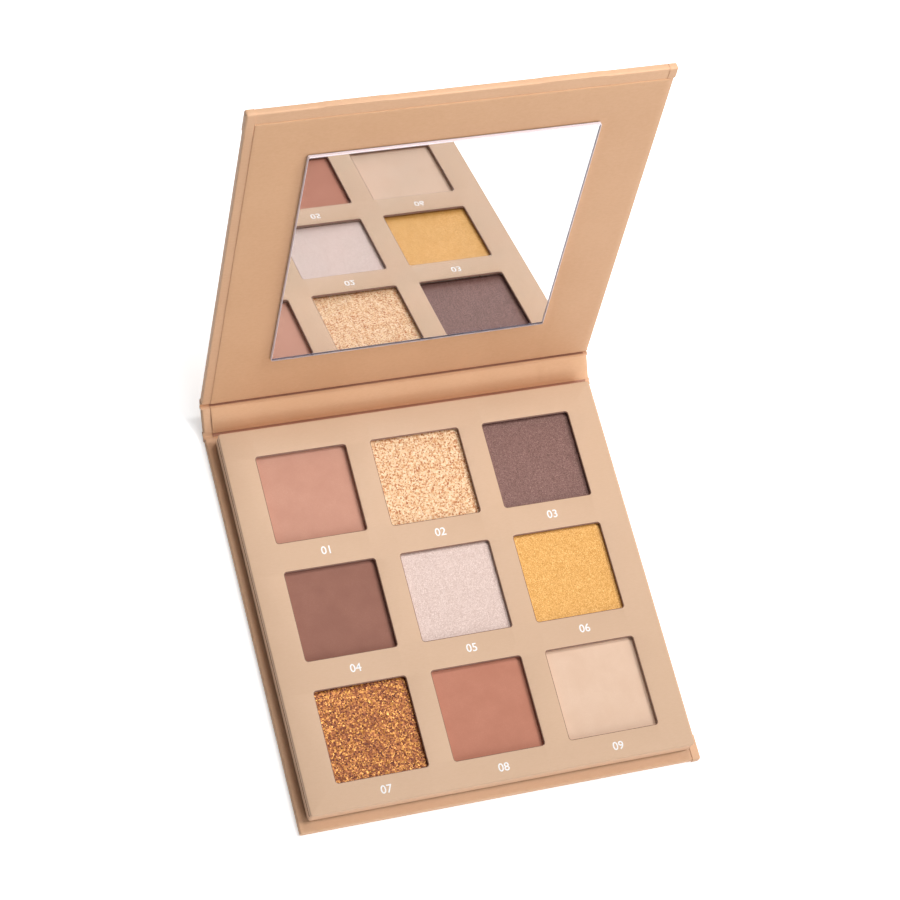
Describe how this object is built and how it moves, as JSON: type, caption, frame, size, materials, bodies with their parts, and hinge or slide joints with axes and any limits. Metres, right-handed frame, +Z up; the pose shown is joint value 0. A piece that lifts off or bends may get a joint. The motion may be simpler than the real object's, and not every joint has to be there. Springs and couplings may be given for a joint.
{
  "type": "eyeshadow palette",
  "caption": "Square book-style eyeshadow palette of paper-wrapped board: a tray of pressed powders in pans, and a mirrored lid on paper hinges.",
  "frame": {"origin": "centre of the base panel's underside", "axes": "+X to the right and +Y back to the hinge as the user looks into the open palette, +Z up"},
  "size_m": [0.1066, 0.141, 0.1113],
  "materials": {
    "cover_paper": "matte uncoated wrapping paper",
    "lining_paper": "matte uncoated lining paper",
    "tray_paper": "matte uncoated wrapping paper",
    "face_card": "matte coated card",
    "greyboard": "raw grey board",
    "adhesive_tape": "translucent adhesive film",
    "glue": "hot-melt glue",
    "pan_metal": "tinplate",
    "magnet_metal": "nickel-plated magnet",
    "silvering": "mirror coating",
    "mirror_glass": "clear float glass, ground edge",
    "powder_1": "matte pressed powder, dusty rose",
    "powder_2": "coarse glitter, pale gold",
    "powder_3": "satin pressed powder, grey brown",
    "powder_4": "matte pressed powder, brown",
    "powder_5": "shimmering pressed powder, pink white",
    "powder_6": "metallic pressed powder, yellow gold",
    "powder_7": "coarse glitter, bronze",
    "powder_8": "matte pressed powder, terracotta",
    "powder_9": "matte pressed powder, cream"
  },
  "bodies": {
    "base": {"base_board": "greyboard", "base_wrap": "cover_paper", "base_liner": "lining_paper", "tray_tape": "adhesive_tape", "tray_floor": "greyboard", "tray_frame": "greyboard", "tray_wrap": "tray_paper", "face_card": "face_card", "tray_magnet_left": "magnet_metal", "tray_magnet_right": "magnet_metal", "pan_glue": "glue", "pan_1": "pan_metal", "pan_2": "pan_metal", "pan_3": "pan_metal", "pan_4": "pan_metal", "pan_5": "pan_metal", "pan_6": "pan_metal", "pan_7": "pan_metal", "pan_8": "pan_metal", "pan_9": "pan_metal", "powder_1": "powder_1", "powder_2": "powder_2", "powder_3": "powder_3", "powder_4": "powder_4", "powder_5": "powder_5", "powder_6": "powder_6", "powder_7": "powder_7", "powder_8": "powder_8", "powder_9": "powder_9"},
    "spine": {"spine_board": "greyboard", "spine_wrap": "cover_paper", "spine_liner": "lining_paper", "lower_fold": "cover_paper", "upper_fold": "cover_paper"},
    "lid": {"lid_board": "greyboard", "lid_wrap": "cover_paper", "lid_liner": "lining_paper", "lid_magnet_left": "magnet_metal", "lid_magnet_right": "magnet_metal", "mirror_tape": "adhesive_tape", "mirror_silver": "silvering", "mirror_glass": "mirror_glass"}
  },
  "joints": [
    {"name": "spine_hinge", "type": "hinge", "parent": "base", "child": "spine", "pos_m": [0, 0.05445, 0.00105], "axis": [1, 0, 0], "range_deg": [-34, 56]},
    {"name": "lid_hinge", "type": "hinge", "parent": "spine", "child": "lid", "pos_m": [0, 0.06141, 0.00575], "axis": [1, 0, 0], "range_deg": [-42.5, 47.5]}
  ]
}
